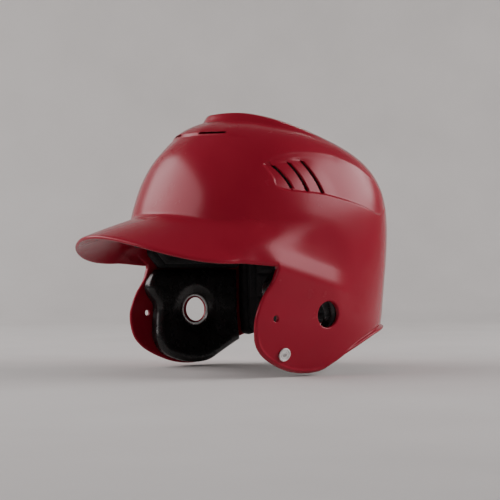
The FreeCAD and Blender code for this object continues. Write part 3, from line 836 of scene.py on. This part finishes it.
def pad_skin():
    """The ear pads' smooth moulded skin, with a fine leather grain."""
    made, tree, shader = material("ear_pad_skin", (0.009, 0.008, 0.008), (0.015, 0.014, 0.014),
                                  (0.22, 0.32), mottle=60.0)
    cells = texture(tree, "ShaderNodeTexVoronoi", 750.0)
    waves = texture(tree, "ShaderNodeTexNoise", 260.0, Detail=3.0)
    fine = add_bump(tree, cells.outputs["Distance"], -0.00005)
    tree.links.new(add_bump(tree, waves.outputs["Fac"], 0.0001, fine), shader.inputs["Normal"])
    return made


def snap_lacquer():
    """White lacquer on the snap caps, a little worn and speckled."""
    made, tree, shader = material("snap_lacquer", (0.66, 0.65, 0.63), (0.90, 0.89, 0.87),
                                  (0.22, 0.4), mottle=500.0, coat=0.3)
    chips = texture(tree, "ShaderNodeTexNoise", 1400.0, Detail=4.0)
    tree.links.new(add_bump(tree, chips.outputs["Fac"], 0.00005), shader.inputs["Normal"])
    return made


def plated_steel():
    """Nickel plate with fine turning marks."""
    made, tree, shader = material("plated_steel", (0.42, 0.42, 0.43), (0.56, 0.56, 0.56),
                                  (0.2, 0.38), mottle=300.0, metallic=1.0)
    marks = texture(tree, "ShaderNodeTexNoise", 900.0, (0.15, 1, 1), Detail=3.0)
    tree.links.new(add_bump(tree, marks.outputs["Fac"], 0.00003), shader.inputs["Normal"])
    return made


def floor_paper():
    """Matt studio paper."""
    made, tree, shader = material("floor_paper", (0.60, 0.60, 0.58), (0.64, 0.64, 0.62),
                                  (0.85, 0.95), mottle=8.0)
    grain = texture(tree, "ShaderNodeTexNoise", 600.0, Detail=4.0)
    tree.links.new(add_bump(tree, grain.outputs["Fac"], 0.0001), shader.inputs["Normal"])
    return made


foam, cover, skin = bead_foam(), knit_cover(), pad_skin()
lacquer, steel = snap_lacquer(), plated_steel()
paint(shell, moulded_red())
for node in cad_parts.values():
    paint(node, steel)

for part, both_sides in (("front", False), ("side", True), ("rear", False), ("crown", False)):
    add_foam(f"{part}_foam", f"{part}_liner", liner(REGIONS[part], both_sides),
             REGIONS[part], foam, both_sides)
for part, both_sides, lines in (("front", False, pressed_lines), ("side", True, pressed_lines),
                                ("rear", True, pressed_lines), ("crown", False, crown_lines)):
    add_foam(f"{part}_cushion", f"{part}_pad",
             cushion(REGIONS[part], both_sides, lines), REGIONS[part], cover, both_sides)
add_foam("ear_cushion", "ear_pad", ear_pad_field, EAR_PAD + [EAR_CORNER], skin,
         True)


# ------------------------------------------------------------------ chin strap snaps

# The cap's half section from its middle to its foot, as (radius, height).
SNAP_PROFILE = [(0.0, 1.42), (0.9, 1.45), (1.6, 1.38), (1.95, 1.22), (2.15, 1.02), (2.35, 1.22),
                (2.6, 1.4), (3.1, 1.46), (3.5, 1.4), (3.7, 1.16), (3.9, 1.16), (4.1, 1.5),
                (4.45, 1.78), (4.9, 1.84), (5.3, 1.7), (5.55, 1.35), (5.6, 0.9), (5.5, 0.45),
                (5.2, 0.25), (4.6, 0.2), (4.6, -0.15)]
SNAP_SIDES = 72


def snap_cap(name, side):
    """A turned cap with a rolled rim and two rings around its button, on the flap's face."""
    turn = np.linspace(0, 2 * np.pi, SNAP_SIDES, endpoint=False)
    out = SEAT_NORMAL
    across = np.cross(out, (0.0, 0.0, 1.0))
    across /= np.linalg.norm(across)
    upward = np.cross(across, out)
    ring = np.cos(turn)[:, None] * across + np.sin(turn)[:, None] * upward
    profile = smooth_path(SNAP_PROFILE, steps=3)
    top = SEAT + profile[0][1] * out
    vertices = np.vstack([SEAT + r * ring + h * out for r, h in profile[1:]] + [top])
    rows = len(profile) - 1
    index = np.arange(rows * SNAP_SIDES).reshape(rows, SNAP_SIDES)
    after = np.roll(index, -1, axis=1)
    quads = np.stack([index[:-1], index[1:], after[1:], after[:-1]], -1).reshape(-1, 4)
    middle = np.stack([index[0], after[0], np.full(SNAP_SIDES, rows * SNAP_SIDES)], -1)
    base = index[-1][::-1]
    faces = quads.tolist() + middle.tolist() + [base.tolist()]
    mesh = bpy.data.meshes.new(name)
    mesh.from_pydata((vertices * MM * (side, 1, 1)).tolist(), [], faces)
    if side < 0:
        mesh.flip_normals()
    mesh.validate()
    mesh.shade_smooth()
    cap = place(name, mesh)
    paint(cap, lacquer)
    return cap


for side, prefix in ((1, "left"), (-1, "right")):
    declare(snap_cap(f"{prefix}_snap_cap", side), f"{prefix}_snap_stud")


# ------------------------------------------------------------------ stage, lights and camera

FLOOR_GAP = 0.002
STAGE_HALF, STAGE_BACK, STAGE_HEIGHT = 7.0, 1.6, 2.6
BEND_RADIUS, BEND_STEPS = 0.5, 12
CAMERA_AZIMUTH = 53.0
CAMERA_ELEVATION = -0.59
CAMERA_DISTANCE = 1.287
CAMERA_LENS = 105.87
CAMERA_SIDE = -0.0064
CAMERA_RAISE = 0.05384
LIGHT_AIM = (0, 0, 0.05)
LIGHT_TINT = (1.0, 0.92, 0.93)
WORLD_TINT = (0.8, 0.82, 0.85, 1)
WORLD_STRENGTH = 0.16


def direction(azimuth, elevation):
    """The way to a viewpoint: azimuth 0 is in front of the helmet, 90 on its left."""
    a, e = math.radians(azimuth), math.radians(elevation)
    return Vector((math.sin(a) * math.cos(e), -math.cos(a) * math.cos(e), math.sin(e)))


def build_stage():
    """A floor just under the helmet that bends up into a wall behind it."""
    bottom, straight = cad_low.z - FLOOR_GAP, STAGE_BACK - BEND_RADIUS
    profile = [(-STAGE_HALF, 0.0), (straight, 0.0)]
    for step in range(1, BEND_STEPS + 1):
        angle = math.radians(90.0 * step / BEND_STEPS)
        profile.append((straight + BEND_RADIUS * math.sin(angle), BEND_RADIUS * (1 - math.cos(angle))))
    profile.append((STAGE_BACK, STAGE_HEIGHT))
    away = -direction(CAMERA_AZIMUTH, 0)
    side = Vector((away.y, -away.x, 0))
    vertices = [away * d + side * w + Vector((0, 0, bottom + z))
                for d, z in profile for w in (-STAGE_HALF, STAGE_HALF)]
    faces = [(2 * i, 2 * i + 1, 2 * i + 3, 2 * i + 2) for i in range(len(profile) - 1)]
    mesh = bpy.data.meshes.new("studio_floor")
    mesh.from_pydata([tuple(v) for v in vertices], [], faces)
    mesh.shade_smooth()
    floor = place("studio_floor", mesh)
    paint(floor, floor_paper())


def build_camera():
    """The camera looks level along its azimuth, moved sideways and up to frame the helmet."""
    forward = -direction(CAMERA_AZIMUTH, CAMERA_ELEVATION)
    right = direction(CAMERA_AZIMUTH + 90, 0)
    up = right.cross(forward)
    data = bpy.data.cameras.new("camera")
    data.sensor_width = 36.0
    data.lens = CAMERA_LENS
    data.clip_start, data.clip_end = 0.05, 20.0
    camera = place("camera", data)
    camera.rotation_mode = "QUATERNION"
    camera.rotation_quaternion = Matrix((right, up, -forward)).transposed().to_quaternion()
    camera.location = right * CAMERA_SIDE + up * CAMERA_RAISE - forward * CAMERA_DISTANCE
    bpy.context.scene.camera = camera


def area_light(name, azimuth, elevation, distance, size, power):
    """A soft panel that faces the helmet."""
    back = direction(azimuth, elevation)
    data = bpy.data.lights.new(name, "AREA")
    data.shape = "RECTANGLE"
    data.size, data.size_y = size
    data.energy = power
    data.color = LIGHT_TINT
    light = place(name, data)
    light.location = Vector(LIGHT_AIM) + back * distance
    light.rotation_mode = "QUATERNION"
    light.rotation_quaternion = (-back).to_track_quat("-Z", "Y")


def build_lights():
    """Two large panels in front and behind, a small one for the rim, and a dim grey surround."""
    area_light("soft_left", -35, 30, 1.6, (2.4, 0.78), 29)
    area_light("soft_right", 145, 24, 1.6, (1.6, 0.66), 26)
    area_light("rim_back", 226, 24, 1.9, (0.5, 0.6), 20)
    world = bpy.data.worlds.new("studio")
    world.use_nodes = True
    background = world.node_tree.nodes["Background"]
    background.inputs["Color"].default_value = WORLD_TINT
    background.inputs["Strength"].default_value = WORLD_STRENGTH
    bpy.context.scene.world = world


build_stage()
build_camera()
build_lights()
